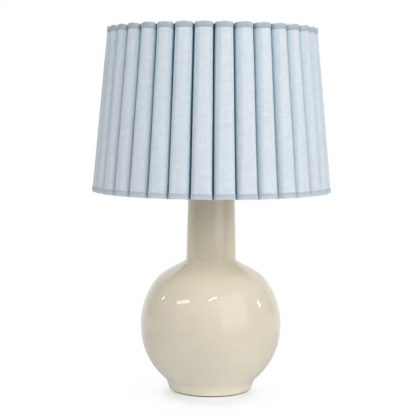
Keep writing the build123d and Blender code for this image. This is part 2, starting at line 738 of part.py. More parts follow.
def pleated_wall(z_low, z_high, grow_out, grow_in, dip=0.0):
    """Pleated sheet between two heights, closed by its outer, inner, top and bottom faces."""
    outer_low = pleated_rim(z_low, grow_out)
    outer_high = pleated_rim(z_high, grow_out, dip)
    inner_low = pleated_rim(z_low, grow_in)
    inner_high = pleated_rim(z_high, grow_in, dip)
    faces = ruled_faces(outer_low, outer_high) + ruled_faces(inner_low, inner_high)
    faces += ruled_faces(outer_high, inner_high) + ruled_faces(outer_low, inner_low)
    return Solid(Shell(faces))


def shade_cover():
    """Linen in deep pleats round the lining, each arched along its top edge."""
    return pleated_wall(shade_bottom_z, shade_top_z, 0, -CLOTH_THICKNESS, TOP_EDGE_DIP)


def top_binding():
    """Tape that follows every pleat along the top edge."""
    grow = TAPE_GAP + TAPE_THICKNESS
    return pleated_wall(shade_top_z - TAPE_WIDTH, shade_top_z, grow, TAPE_GAP, TOP_EDGE_DIP)


def bottom_binding():
    """Tape that follows every pleat along the lower edge."""
    grow = TAPE_GAP + TAPE_THICKNESS
    return pleated_wall(shade_bottom_z, shade_bottom_z + TAPE_WIDTH, grow, TAPE_GAP)


def shade_lining():
    """Stiff leaning drum inside the pleats."""
    bottom = lining_radius(lining_bottom_z)
    top = lining_radius(lining_top_z)
    return turned(
        profile(
            (bottom, lining_bottom_z),
            (top, lining_top_z),
            (top - LINING_THICKNESS, lining_top_z),
            (bottom - LINING_THICKNESS, lining_bottom_z),
        )
    )


PIECES = [
    ceramic_body,
    felt_pad,
    cord_grommet,
    threaded_tube,
    floor_gasket,
    clamp_washer,
    lock_washer,
    clamp_nut,
    neck_gasket,
    neck_cap,
    collar,
    lampholder_cap,
    lock_screw,
    lampholder_skirt,
    switch_block,
    terminal_block,
    terminal_screws,
    centre_contact,
    screw_shell,
    switch_shaft,
    switch_knob,
    bulb_glass,
    bulb_cap,
    bulb_insulator,
    bulb_tip,
    fitter_ring,
    shade_ring,
    top_wire_ring,
    bottom_wire_ring,
    spider_arms,
    shade_cover,
    top_binding,
    bottom_binding,
    shade_lining,
]

os.makedirs("parts", exist_ok=True)
for piece in PIECES:
    export_step(piece(), f"parts/{piece.__name__}.step")
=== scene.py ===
import json
import math
import random

import bpy
from mathutils import Matrix, Vector


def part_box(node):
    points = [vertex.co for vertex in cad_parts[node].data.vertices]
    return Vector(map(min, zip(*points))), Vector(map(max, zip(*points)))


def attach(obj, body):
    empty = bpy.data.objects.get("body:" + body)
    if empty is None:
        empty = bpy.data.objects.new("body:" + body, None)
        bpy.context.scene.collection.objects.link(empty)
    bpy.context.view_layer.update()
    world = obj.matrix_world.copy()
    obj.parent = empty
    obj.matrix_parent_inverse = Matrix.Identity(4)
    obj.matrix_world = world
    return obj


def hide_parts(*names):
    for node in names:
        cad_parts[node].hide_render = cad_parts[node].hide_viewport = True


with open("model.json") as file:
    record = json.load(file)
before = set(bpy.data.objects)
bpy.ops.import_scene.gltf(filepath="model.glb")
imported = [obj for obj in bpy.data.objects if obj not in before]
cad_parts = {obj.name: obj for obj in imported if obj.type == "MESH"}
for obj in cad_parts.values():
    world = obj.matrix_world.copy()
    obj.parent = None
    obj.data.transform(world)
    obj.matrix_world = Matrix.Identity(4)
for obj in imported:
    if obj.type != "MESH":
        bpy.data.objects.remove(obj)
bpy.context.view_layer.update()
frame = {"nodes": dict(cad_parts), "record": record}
random.seed(11)

# Shade, in metres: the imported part's pleats, their plan sizes being those of the lower edge
PLEAT_COUNT = 34
PLEAT_DEPTH = 0.0185
PLEAT_GAP = 0.0028
FACE_RADIUS = 0.036
CLOTH_THICKNESS = 0.001
SHADE_TOP_RADIUS = 0.1542
FRONT_ANGLE = math.radians(-90)

# The part's corners are even. The cloth's are rolled on the left and pressed on the right,
# and up the shade each face tightens and each roll grows, by these shares
ROLLED_RADIUS = 0.0098
PRESSED_RADIUS = 0.0065
FACE_TIGHTENING = 0.22
ROLL_GROWTH = 0.2

# The top edge dips from the crests into the gaps, with this share of the dip along the face,
# and the lower edge is lifted at the crests
TOP_EDGE_DIP = 0.0031
FACE_DIP = 0.2
BOTTOM_EDGE_LIFT = 0.0011

# How far the sewn pleats stray from the even ones
GAP_STRAY = 0.3
PLACE_STRAY = math.radians(0.22)
CREST_STRAY = 0.0005

# One fold's stray: the most that it keeps all the way up, and waves, each with a size and
# its radians over the height
STRAY_BASE = 0.6
STRAY_WAVES = [(0.28, 3.2), (0.12, 9.0)]

# Fold marks for the materials' painted shade: nought on a pleat's crest, these at the ends of its
# face and corner, and one in the gap. From the lower edge to the top they grow by the last share,
# so the painted shade darkens towards the top
FACE_MARK = 0.3
CORNER_MARK = 0.6
PAINTED_SHADE_GROWTH = 0.35

# Tape round both edges. Its own edges keep a share of its thickness, and the higher the
# squareness, the nearer to them it thins
TAPE_WIDTH = 0.008
TAPE_LIFT = 0.0001
TAPE_THICKNESS = 0.0005
TAPE_EDGE_SHARE = 0.5
TAPE_SQUARENESS = 8
TAPE_RIBS = 5
RIB_DEPTH = 0.00012

# Felt ring under the foot, with its profile in shares of its width and thickness
FELT_WIDTH = 0.0105
FELT_FUZZ = 0.0002
FELT_PROFILE = [
    (0.0, 0.02),
    (0.0, 0.6),
    (0.12, 0.9),
    (0.3, 1.0),
    (0.7, 1.0),
    (0.88, 0.9),
    (1.0, 0.6),
    (1.0, 0.02),
]

# Steps of the meshes
FACE_STEPS = 8
CORNER_STEPS = 6
WALL_STEPS = 3
VALLEY_STEPS = 1
COVER_LEVELS = 32
TAPE_LEVELS = 20
FELT_STEPS = 360

# Colours, and the palest that a tint may get
LINEN = (0.692, 0.745, 0.806)
# One tape in two colours: painted shade darkens the top tape and painted light brightens the lower
# one
TOP_TAPE_SHADED = (0.428, 0.492, 0.55)
BOTTOM_TAPE_LIT = (0.524, 0.597, 0.662)
CREAM = (0.729, 0.668, 0.532)
WHITE = (1, 1, 1, 1)
PALEST = 0.98

# Painted shade on the cloth by its fold mark, from the face into the gap: greyer and bluer on the
# flanks, dark in the gaps
LINEN_FOLD_SHADE = [
    (0.28, 1.0),
    (0.35, (0.9, 0.935, 0.94)),
    (0.4, (0.88, 0.92, 0.93)),
    (0.5, (0.9, 0.95, 0.965)),
    (0.6, (0.82, 0.91, 0.95)),
    (0.7, (0.61, 0.78, 0.87)),
    (0.85, (0.315, 0.49, 0.56)),
    (1.0, (0.3, 0.46, 0.53)),
]
# Painted shade on the tape by its fold mark, dark down in the gaps
TAPE_FOLD_SHADE = [
    (0.34, 0.98),
    (0.42, 1.0),
    (0.52, 0.96),
    (0.7, (0.5, 0.56, 0.62)),
    (0.85, (0.1, 0.14, 0.18)),
    (1.0, (0.04, 0.06, 0.08)),
]

# Weaves: pitch and depth in metres, and slubs per metre along the cloth and up it
LINEN_PITCH = 0.0009
TAPE_PITCH = 0.0008
WEAVE_DEPTH = 0.00008
WEFT_SLUBS = (45, 430, 1)
WARP_SLUBS = (380, 14, 1)
TAPE_SLUBS = (30, 900, 1)

# Thread of the bulb and its holder
THREAD_PITCH = 0.0036286
THREAD_DEPTH = 0.0005

# Most of a noise's values lie between these two, and a wave of scale one is this long
NOISE_LOW = 0.3
NOISE_HIGH = 0.7
WAVE_LENGTH = math.pi / 10

# Camera, worked out from the rims' ellipses in the picture
CAMERA_DISTANCE = 1.73
CAMERA_HEIGHT = 0.4206
CAMERA_TURN = math.radians(0.6)
CAMERA_AIM = math.radians(0.2)
CAMERA_PITCH = math.radians(4.89)
CAMERA_ROLL = math.radians(0.38)
CAMERA_LENS = 100.6
CAMERA_SENSOR = 36

# Room: the light it gives, and what reflections show before, beside and behind the lamp,
# at shares of the way from front to back
AMBIENT = 0.08
MIRRORED_ROOM = 0.12
MIRRORED_SIDES = 0.45
MIRRORED_BACKDROP = 0.9
MIRRORED_DEPTHS = [
    (0.35, MIRRORED_ROOM),
    (0.6, MIRRORED_SIDES),
    (0.8, MIRRORED_SIDES),
    (0.87, MIRRORED_BACKDROP),
]

# Floor: the nearness to the shadow's middle, from nought at its reach to one, sets how
# white the floor is shown, its paint and its glow. Its reflection pales from the paling
# reach in front of the lamp's middle to as far behind it
FLOOR_SIZE = 14.0
SHADOW_FORWARD = 0.04
SHADOW_REACH = 0.714
FLOOR_SHOWN = [(0.3, 1.0), (0.6, 0.99), (0.74, 0.97), (0.8, 0.84), (0.86, 0.3)]
FLOOR_PAINT = [(0.0, 0.55), (0.3, 0.65), (0.6, (0.88, 0.91, 0.97))]
FLOOR_GLOW = 0.15
GLOW_START = 0.6
GLOW_FULL = 0.85
PALING_REACH = 0.4

# Area lights: name, direction from the lamp's middle, distance, size, power and whether
# reflections show it
LIGHT_CENTRE = Vector((0.0, 0.0, 0.27))
LIGHTS = [
    ("window", (0.6, -0.7, 0.345), 2.4, (2.1, 2.29), 18.2, True),
    ("softbox", (-0.08, -0.85, 0.5), 2.6, (3.0, 1.6), 25, False),
    ("left_fill", (-0.9, -0.35, 0.3), 2.4, (1.4, 1.4), 13.4, False),
    ("right_fill", (0.9, -0.3, 0.18), 2.4, (1.4, 1.4), 12, False),
    ("back_fill", (0.0, 0.95, 0.15), 2.4, (1.8, 1.2), 24, False),
    ("overhead", (0.1, 0.1, 1.0), 2.4, (2.6, 2.6), 20, False),
    ("high_right", (0.6, -0.6, 0.75), 2.6, (1.0, 1.0), 9.5, False),
]

# Narrow lights for the ball's small highlights: name, two ends, width and power
BALL_CENTRE = Vector((0.0, 0.0, 0.0974))
STRIPS = [
    ("lamp_a", (-2.06, 0.44, 0.95), (-2.0, 0.34, 1.12), 0.1, 0.42),
    ("lamp_b", (-1.81, -0.79, 1.26), (-1.24, -1.3, 1.53), 0.18, 2.9),
    ("lamp_c", (-0.13, -1.66, 1.68), (0.32, -1.48, 1.83), 0.1, 2.0),
    ("lamp_d", (2.08, 0.16, 1.01), (2.16, 0.2, 0.77), 0.2, 1.25),
]


def feed(material, socket, value):
    """Links an output to the socket, or sets its value."""
    if isinstance(value, bpy.types.NodeSocket):
        material.node_tree.links.new(value, socket)
    else:
        socket.default_value = value


def add_node(material, kind, inputs, **settings):
    """New node of a material or world, with its settings and its inputs by name or place."""
    node = material.node_tree.nodes.new(kind)
    for name, value in settings.items():
        setattr(node, name, value)
    for name, value in inputs.items():
        feed(material, node.inputs[name], value)
    return node


def set_shader(material, inputs):
    """Links or sets inputs of the material's principled shader."""
    shader = material.node_tree.nodes["Principled BSDF"]
    for name, value in inputs.items():
        feed(material, shader.inputs[name], value)


def new_material(name, colour, roughness, metallic=0.0):
    """Material with one principled shader."""
    material = bpy.data.materials.new(name)
    material.use_nodes = True
    set_shader(material, {"Base Color": (*colour, 1), "Roughness": roughness, "Metallic": metallic})
    return material


def coordinates(material, kind, stretch=(1, 1, 1)):
    """Object or UV coordinates in metres, scaled along each axis."""
    source = add_node(material, "ShaderNodeTexCoord", {})
    inputs = {"Vector": source.outputs[kind], "Scale": stretch}
    return add_node(material, "ShaderNodeMapping", inputs).outputs["Vector"]


def attribute(material, name):
    """Mark that the mesh carries at each vertex."""
    return add_node(material, "ShaderNodeAttribute", {}, attribute_name=name).outputs["Fac"]


def noise(material, where, scale=1.0, detail=3.0):
    """Noise of about one metre over scale in size."""
    inputs = {"Vector": where, "Scale": scale, "Detail": detail}
    return add_node(material, "ShaderNodeTexNoise", inputs).outputs["Fac"]


def bands(material, where, direction, pitch, distortion=0.0):
    """Wave of the given pitch in metres along an axis."""
    inputs = {
        "Vector": where,
        "Scale": WAVE_LENGTH / pitch,
        "Distortion": distortion,
        "Detail": 2.0,
    }
    wave = add_node(material, "ShaderNodeTexWave", inputs, bands_direction=direction)
    return wave.outputs["Fac"]


def grey(value):
    """Three equal channels."""
    return (value, value, value)


def tinted(colour, factor):
    """Colour times a factor, kept below one."""
    return tuple(min(PALEST, channel * factor) for channel in colour)


def ramp(material, value, stops):
    """Colour ramp with stops of place and colour, where a number is a grey."""
    node = add_node(material, "ShaderNodeValToRGB", {"Fac": value})
    elements = node.color_ramp.elements
    while len(elements) < len(stops):
        elements.new(0.5)
    for element, (place, colour) in zip(elements, stops):
        channels = colour if isinstance(colour, tuple) else grey(colour)
        element.position = place
        element.color = (*channels, 1)
    return node.outputs["Color"]


def blend(material, value, low, high):
    """Colour of a noise value between two."""
    return ramp(material, value, [(NOISE_LOW, low), (NOISE_HIGH, high)])


def map_range(material, value, start, end, low, high):
    """Value from start to end spread from low to high."""
    inputs = {"Value": value, "From Min": start, "From Max": end, "To Min": low, "To Max": high}
    return add_node(material, "ShaderNodeMapRange", inputs).outputs["Result"]


def calculate(material, operation, first, second):
    """Result of an operation on two values."""
    node = add_node(material, "ShaderNodeMath", {0: first, 1: second}, operation=operation)
    return node.outputs[0]


def total(material, *values):
    """Sum of values."""
    result = values[0]
    for value in values[1:]:
        result = calculate(material, "ADD", result, value)
    return result


def multiply(material, *colours):
    """Product of colours."""
    result = colours[0]
    for colour in colours[1:]:
        node = add_node(
            material,
            "ShaderNodeMix",
            {0: 1.0, 6: result, 7: colour},
            data_type="RGBA",
            blend_type="MULTIPLY",
        )
        result = node.outputs[2]
    return result


def mix_shader(material, share, first, second):
    """Shader between two, by a share of the second."""
    return add_node(material, "ShaderNodeMixShader", {0: share, 1: first, 2: second}).outputs[0]


def bump(material, height, distance):
    """Bump from a height of zero to one over the distance."""
    node = add_node(material, "ShaderNodeBump", {"Height": height, "Distance": distance})
    set_shader(material, {"Normal": node.outputs["Normal"]})


def glaze():
    """Cream glaze with slow clouds, a fine soft speckle and a faint crackle."""
    material = new_material("glaze", CREAM, 0.16)
    where = coordinates(material, "Object")
    clouds = noise(material, where, scale=14, detail=4)
    specks = noise(material, where, scale=420, detail=2)
    dots = noise(material, where, scale=900, detail=1)
    cells = {"Vector": where, "Scale": 150.0}
    cell = add_node(material, "ShaderNodeTexVoronoi", cells, feature="DISTANCE_TO_EDGE")
    colour = multiply(
        material,
        blend(material, clouds, tinted(CREAM, 0.96), tinted(CREAM, 1.03)),
        ramp(material, specks, [(0.4, 1.0), (0.68, (0.95, 0.94, 0.925))]),
        ramp(material, dots, [(0.66, 1.0), (0.74, (0.87, 0.84, 0.8))]),
        ramp(material, cell.outputs["Distance"], [(0.0, 0.955), (0.05, 1.0)]),
    )
    patches = noise(material, where, scale=60)
    set_shader(
        material,
        {
            "Base Color": colour,
            "Roughness": map_range(material, patches, NOISE_LOW, NOISE_HIGH, 0.12, 0.2),
            "Specular IOR Level": 0.1,
            "Coat Weight": 1.0,
            "Coat Roughness": 0.02,
        },
    )
    bump(material, noise(material, where, scale=45, detail=2), 0.00005)
    return material


def linen():
    """Slub linen in a plain weave, with painted shade that greys it along the folds and darkens it
    in the gaps.
    """
    material = new_material("linen", LINEN, 0.9)
    thread = coordinates(material, "UV")
    weft = noise(material, coordinates(material, "UV", WEFT_SLUBS), detail=4)
    warp = noise(material, coordinates(material, "UV", WARP_SLUBS), detail=4)
    clouds = noise(material, thread, scale=130)
    colour = multiply(
        material,
        blend(material, weft, tinted(LINEN, 0.95), tinted(LINEN, 1.03)),
        blend(material, warp, (0.955, 0.96, 0.97), 1.0),
        ramp(material, clouds, [(0.35, (0.945, 0.965, 0.975)), (0.6, 1.0)]),
        # Painted shade: the fold mark greys the flanks and darkens the gaps
        ramp(material, attribute(material, "fold"), LINEN_FOLD_SHADE),
    )
    set_shader(
        material,
        {
            "Base Color": colour,
            "Specular IOR Level": 0.2,
            "Sheen Weight": 0.15,
            "Sheen Roughness": 0.5,
        },
    )
    weave = total(
        material,
        bands(material, thread, "X", LINEN_PITCH, distortion=1.5),
        bands(material, thread, "Y", LINEN_PITCH, distortion=1.5),
        weft,
        warp,
    )
    bump(material, weave, WEAVE_DEPTH)
    return material


def tape(name, colour, pale):
    """Ribbed cotton tape, paler towards its outer edge, with painted shade dark down in the gaps.
    """
    material = new_material(name, colour, 0.85)
    slubs = noise(material, coordinates(material, "UV", TAPE_SLUBS))
    # Paler towards the tape's outer edge and a little darker at its inner one
    edge_tone = [
        (0.0, tinted(colour, 0.95)),
        (0.55, colour),
        (0.75, tinted(colour, 1.08)),
        (0.85, tinted(colour, pale)),
    ]
    tone = multiply(
        material,
        ramp(material, attribute(material, "edge"), edge_tone),
        blend(material, slubs, 0.92, 1.0),
        # Painted shade down in the gaps, by the fold mark
        ramp(material, attribute(material, "fold"), TAPE_FOLD_SHADE),
    )
    set_shader(material, {"Base Color": tone, "Specular IOR Level": 0.2, "Sheen Weight": 0.15})
    rows = bands(material, coordinates(material, "UV"), "X", TAPE_PITCH, distortion=1.0)
    bump(material, total(material, rows, slubs), WEAVE_DEPTH)
    return material


def mottled(name, colour, roughness, scale, depth, height=0.0, metallic=0.0, stretch=(1, 1, 1)):
    """Finish with an uneven tone, an uneven polish and, with a height, an uneven surface."""
    material = new_material(name, colour, roughness, metallic)
    where = coordinates(material, "Object", stretch)
    grain = noise(material, where, scale, detail=4)
    tone = blend(material, grain, tinted(colour, 1 - depth), tinted(colour, 1 + depth))
    patches = noise(material, where, scale / 3)
    dull = min(1.0, roughness * 1.3)
    polish = map_range(material, patches, NOISE_LOW, NOISE_HIGH, roughness * 0.75, dull)
    set_shader(material, {"Base Color": tone, "Roughness": polish})
    if height:
        bump(material, grain, height)
    return material


def turned_metal(name, colour, roughness):
    """Lathe-turned metal: fine rings round the axis and a little tarnish."""
    return mottled(
        name,
        colour,
        roughness,
        scale=300,
        depth=0.08,
        height=0.00004,
        metallic=1.0,
        stretch=(0.15, 0.15, 6),
    )


def threaded_metal(name, colour, roughness):
    """Metal with the bulb thread's ridges along the axis."""
    material = mottled(name, colour, roughness, scale=260, depth=0.07, metallic=1.0)
    ridges = bands(material, coordinates(material, "Object"), "Z", THREAD_PITCH)
    bump(material, ridges, THREAD_DEPTH)
    return material


def felt():
    """Pressed wool felt with a fibrous surface."""
    wool = (0.1, 0.09, 0.08)
    material = mottled("felt", wool, 0.95, scale=1400, depth=0.35, height=0.0003)
    set_shader(material, {"Sheen Weight": 0.4})
    return material


def rubber():
    """Matt black rubber with a fine grain."""
    return mottled("rubber", grey(0.04), 0.7, scale=700, depth=0.2, height=0.00005)


def bakelite():
    """Dark moulded plastic with a soft gloss and faint flow marks."""
    brown = (0.03, 0.028, 0.026)
    material = mottled("bakelite", brown, 0.28, scale=60, depth=0.25, height=0.00003)
    set_shader(material, {"Coat Weight": 0.3})
    return material


def porcelain():
    """White technical porcelain with an even glaze."""
    white = (0.85, 0.84, 0.8)
    return mottled("porcelain", white, 0.2, scale=200, depth=0.03, height=0.00002)


def opal_glass():
    """White bulb glass with an even frost."""
    white = (0.92, 0.92, 0.9)
    material = mottled("opal_glass", white, 0.3, scale=900, depth=0.02, height=0.00002)
    set_shader(
        material,
        {
            "Subsurface Weight": 0.25,
            "Subsurface Radius": (0.004, 0.004, 0.0035),
            "Coat Weight": 0.3,
            "Coat Roughness": 0.12,
        },
    )
    return material


def black_glass():
    """Dark glass that keeps the bulb's contacts apart."""
    black = (0.03, 0.03, 0.04)
    return mottled("bulb_black_glass", black, 0.12, scale=300, depth=0.2, height=0.00002)


def solder():
    """Dull soft metal of the bulb's tip."""
    tin = (0.55, 0.55, 0.56)
    return mottled("solder", tin, 0.35, scale=500, depth=0.12, height=0.00008, metallic=1.0)


def frame_wire():
    """Wire with a white coat of paint."""
    white = (0.85, 0.84, 0.8)
    return mottled("frame_wire", white, 0.38, scale=350, depth=0.05, height=0.00003)


def lining():
    """Laminated shade lining with a fine cloth grain."""
    material = mottled("lining", (0.85, 0.8, 0.7), 0.7, scale=90, depth=0.03)
    grain = total(
        material,
        noise(material, coordinates(material, "Object", (900, 900, 40)), detail=2),
        noise(material, coordinates(material, "Object", (40, 40, 900)), detail=2),
    )
    bump(material, grain, WEAVE_DEPTH)
    return material


MATERIALS = {
    "glaze": glaze(),
    "felt": felt(),
    "rubber": rubber(),
    "steel": turned_metal("steel", (0.6, 0.6, 0.61), 0.32),
    "brass": turned_metal("brass", (0.72, 0.53, 0.24), 0.26),
    "screw_steel": threaded_metal("screw_steel", (0.62, 0.6, 0.56), 0.3),
    "bakelite": bakelite(),
    "porcelain": porcelain(),
    "opal_glass": opal_glass(),
    "bulb_metal": threaded_metal("bulb_metal", (0.75, 0.75, 0.76), 0.28),
    "bulb_black_glass": black_glass(),
    "solder": solder(),
    "frame_wire": frame_wire(),
    "linen": linen(),
    # The lower tape's copy, brightened as painted light
    "tape": tape("bottom_tape", BOTTOM_TAPE_LIT, 1.15),
    "lining": lining(),
}


cover_low, cover_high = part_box("shade_cover")
shade_bottom = cover_low.z
shade_height = cover_high.z - cover_low.z
bottom_radius = cover_high.x
pleat_pitch = 2 * math.pi / PLEAT_COUNT
tape_share = TAPE_WIDTH / shade_height


class Stray:
    """Slow wander of one fold over the shade's height, from minus one to one."""

    def __init__(self):
        self.base = random.uniform(-STRAY_BASE, STRAY_BASE)
        self.phases = [random.uniform(0, 2 * math.pi) for _ in STRAY_WAVES]

    def at(self, share):
        """Wander at a share of the height."""
        wander = self.base
        for (size, turn), phase in zip(STRAY_WAVES, self.phases):
            wander += size * math.sin(turn * share + phase)
        return wander


gap_strays = [Stray() for _ in range(PLEAT_COUNT)]
place_strays = [Stray() for _ in range(PLEAT_COUNT)]
crest_strays = [Stray() for _ in range(PLEAT_COUNT)]


def arc(centre, radius, start, end, steps):
    """Points on an arc after its start, up to its end."""
    turns = [start + (end - start) * (i + 1) / steps for i in range(steps)]
    return [centre + radius * Vector((math.cos(t), math.sin(t))) for t in turns]


def line(start, end, steps):
    """Points on a line after its start, up to its end."""
    return [start.lerp(end, (i + 1) / steps) for i in range(steps)]


def half_fold(crest, grow, half_pitch, gap_factor, face_even, corner_even):
    """Half of a pleat's outline after its crest, up to the middle of the gap."""
    scale = crest / bottom_radius
    face_radius = face_even * scale + grow
    corner_radius = corner_even * scale + grow
    half_gap = PLEAT_GAP / 2 * scale * gap_factor - grow
    valley = crest - PLEAT_DEPTH * scale + grow
    face_centre = crest - face_even * scale
    along = Vector((math.cos(half_pitch), math.sin(half_pitch)))
    across = Vector((-math.sin(half_pitch), math.cos(half_pitch)))
    side = face_centre * math.sin(half_pitch) - half_gap - corner_radius
    reach = math.sqrt((face_radius - corner_radius) ** 2 - side**2)
    run = face_centre * math.cos(half_pitch) + reach
    corner = along * run - across * (half_gap + corner_radius)
    outward = (corner - Vector((face_centre, 0))).normalized()
    face_turn = math.atan2(outward.y, outward.x)
    wall_foot = along * valley - across * half_gap
    points = arc(Vector((face_centre, 0)), face_radius, 0, face_turn, FACE_STEPS)
    points += arc(corner, corner_radius, face_turn, half_pitch + math.pi / 2, CORNER_STEPS)
    points += line(points[-1], wall_foot, WALL_STEPS)
    points += line(wall_foot, along * valley, VALLEY_STEPS)
    return points


def ring_points(share, grow):
    """Outline of the pleated surface at a share of the shade's height, pleat by pleat."""
    crest_even = bottom_radius + share * (SHADE_TOP_RADIUS - bottom_radius)
    face = FACE_RADIUS * (1 - FACE_TIGHTENING * share)
    rolled = ROLLED_RADIUS * (1 + ROLL_GROWTH * (share - 0.5))
    points = []
    for index in range(PLEAT_COUNT):
        after = (index + 1) % PLEAT_COUNT
        crest = crest_even + CREST_STRAY * crest_strays[index].at(share)
        left_pitch = pleat_pitch / 2 - PLACE_STRAY * place_strays[index].at(share)
        right_pitch = pleat_pitch / 2 + PLACE_STRAY * place_strays[after].at(share)
        left_gap = 1 + GAP_STRAY * gap_strays[index].at(share)
        right_gap = 1 + GAP_STRAY * gap_strays[after].at(share)
        left = half_fold(crest, grow, left_pitch, left_gap, face, rolled)
        right = half_fold(crest, grow, right_pitch, right_gap, face, PRESSED_RADIUS)
        mirrored = [Vector((p.x, -p.y)) for p in reversed(left[:-1])]
        outline = mirrored + [Vector((crest + grow, 0))] + right
        middle = FRONT_ANGLE + pleat_pitch * (index + 0.5)
        turn = Vector((math.cos(middle), math.sin(middle)))
        for p in outline:
            points.append(Vector((p.x * turn.x - p.y * turn.y, p.x * turn.y + p.y * turn.x)))
    return points


def all_pleats(half):
    """Values along half a pleat after its crest, for every point of ring_points."""
    return (list(reversed(half[:-1])) + [0.0] + half) * PLEAT_COUNT


def half_dips():
    """Share of the top edge's dip at each point of half a pleat."""
    rest = 1 - FACE_DIP
    face = [FACE_DIP * ((i + 1) / FACE_STEPS) ** 2 for i in range(FACE_STEPS)]
    corner = [FACE_DIP + rest * ((i + 1) / CORNER_STEPS) ** 2 for i in range(CORNER_STEPS)]
    return face + corner + [1.0] * (WALL_STEPS + VALLEY_STEPS)


def half_marks():
    """Fold mark at each point of half a pleat."""
    turn, rest = CORNER_MARK - FACE_MARK, 1 - CORNER_MARK
    face = [FACE_MARK * (i + 1) / FACE_STEPS for i in range(FACE_STEPS)]
    corner = [FACE_MARK + turn * (i + 1) / CORNER_STEPS for i in range(CORNER_STEPS)]
    wall = [CORNER_MARK + rest * (i + 1) / WALL_STEPS for i in range(WALL_STEPS)]
    return face + corner + wall + [1.0] * VALLEY_STEPS


def edge_rise(share, dip):
    """Height that a point gains, so that the top edge dips and the lower one looks flat."""
    return BOTTOM_EDGE_LIFT * (1 - share) * (1 - dip) - TOP_EDGE_DIP * share * dip


def lengths_along(points):
    """Length along a closed outline at each point, and all round."""
    lengths = [0.0]
    for first, second in zip(points, points[1:] + points[:1]):
        lengths.append(lengths[-1] + (second - first).length)
    return lengths


def flat_length(share):
    """Length of the cloth round all its pleats at a share of the height."""
    return lengths_along(ring_points(share, 0.0))[-1]


def skin_faces(count, levels):
    """Faces of an outer and an inner skin, joined along both edges."""
    inner = levels * count
    faces = []
    for level in range(levels - 1):
        low, high = level * count, (level + 1) * count
        for i in range(count):
            j = (i + 1) % count
            faces.append((low + i, low + j, high + j, high + i))
            faces.append((inner + low + j, inner + low + i, inner + high + i, inner + high + j))
    last = (levels - 1) * count
    for i in range(count):
        j = (i + 1) % count
        faces.append((j, i, inner + i, inner + j))
        faces.append((last + i, last + j, inner + last + j, inner + last + i))
    return faces


def add_uvs(mesh, vertices, count, lengths):
    """U is the length along the cloth and V the height."""
    layer = mesh.uv_layers.new(name="cloth")
    for polygon in mesh.polygons:
        columns = [v % count for v in polygon.vertices]
        wraps = max(columns) - min(columns) > 1
        for loop, vertex, column in zip(polygon.loop_indices, polygon.vertices, columns):
            place = count if wraps and column == 0 else column
            layer.data[loop].uv = (lengths[place], vertices[vertex][2])


def add_marks(mesh, name, values):
    """One value at each vertex for the materials."""
    marks = mesh.attributes.new(name, "FLOAT", "POINT")
    marks.data.foreach_set("value", values)


def add_object(name, data):
    """New object in the scene."""
    made = bpy.data.objects.new(name, data)
    bpy.context.scene.collection.objects.link(made)
    return made


def finished_piece(name, mesh):
    """Object with smooth faces."""
    mesh.polygons.foreach_set("use_smooth", [True] * len(mesh.polygons))
    mesh.update()
    return add_object(name, mesh)


def pleated_piece(name, shares, outer, inner, edge):
    """Closed mesh of two pleated skins at shares of the height.

    The skins' distances from the even cloth and the edge mark go by the level.
    """
    dips = all_pleats(half_dips())
    marks = all_pleats(half_marks())
    count = len(dips)
    vertices, folds, edges = [], [], []
    for skin in (outer, inner):
        for level, share in enumerate(shares):
            z = shade_bottom + share * shade_height
            ring = ring_points(share, skin(level))
            vertices += [(p.x, p.y, z + edge_rise(share, dip)) for p, dip in zip(ring, dips)]
            # Painted shade: the marks grow up the shade, so its upper part renders darker
            shade_growth = 1 + PAINTED_SHADE_GROWTH * (share - 0.5)
            folds += [mark * shade_growth for mark in marks]
            edges += [edge(level)] * count
    mesh = bpy.data.meshes.new(name)
    mesh.from_pydata(vertices, [], skin_faces(count, len(shares)))
    add_uvs(mesh, vertices, count, lengths_along(ring_points(shares[0], 0.0)))
    add_marks(mesh, "fold", folds)
    add_marks(mesh, "edge", edges)
    return finished_piece(name, mesh)


def make_cover():
    """Linen cover over the shade's whole height."""
    shares = [i / COVER_LEVELS for i in range(COVER_LEVELS + 1)]
    return pleated_piece(
        "linen_cover",
        shares,
        outer=lambda level: 0.0,
        inner=lambda level: -CLOTH_THICKNESS,
        edge=lambda level: 0.0,
    )


def make_tape(name, start, end, pale_end):
    """Ribbed tape on the cover between two shares of the height."""
    shares = [start + (end - start) * i / TAPE_LEVELS for i in range(TAPE_LEVELS + 1)]

    def ribbed(level):
        across = level / TAPE_LEVELS
        rounded = 1 - abs(2 * across - 1) ** TAPE_SQUARENESS
        fullness = TAPE_EDGE_SHARE + (1 - TAPE_EDGE_SHARE) * rounded
        rib = 0.5 - 0.5 * math.cos(2 * math.pi * TAPE_RIBS * across)
        return TAPE_LIFT + TAPE_THICKNESS * fullness - RIB_DEPTH * (1 - rib)

    def paleness(level):
        across = level / TAPE_LEVELS
        return across if pale_end else 1 - across

    return pleated_piece(
        name, shares, outer=ribbed, inner=lambda level: TAPE_LIFT, edge=paleness
    )


def make_felt():
    """Felt ring with a fibrous, slightly uneven edge."""
    low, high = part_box("felt_pad")
    outer_radius = high.x
    inner_radius = outer_radius - FELT_WIDTH
    vertices, faces = [], []
    for i in range(FELT_STEPS):
        turn = 2 * math.pi * i / FELT_STEPS
        for share, height in FELT_PROFILE:
            edge = abs(2 * share - 1)
            radius = inner_radius + share * (outer_radius - inner_radius)
            radius -= math.copysign(edge, share - 0.5) * random.uniform(0, FELT_FUZZ)
            z = low.z + height * (high.z - low.z)
            vertices.append((radius * math.cos(turn), radius * math.sin(turn), z))
    size = len(FELT_PROFILE)
    for i in range(FELT_STEPS):
        j = (i + 1) % FELT_STEPS
        for k in range(size):
            m = (k + 1) % size
            faces.append((i * size + k, i * size + m, j * size + m, j * size + k))
    mesh = bpy.data.meshes.new("felt_ring")
    mesh.from_pydata(vertices, [], faces)
    return finished_piece("felt_ring", mesh)


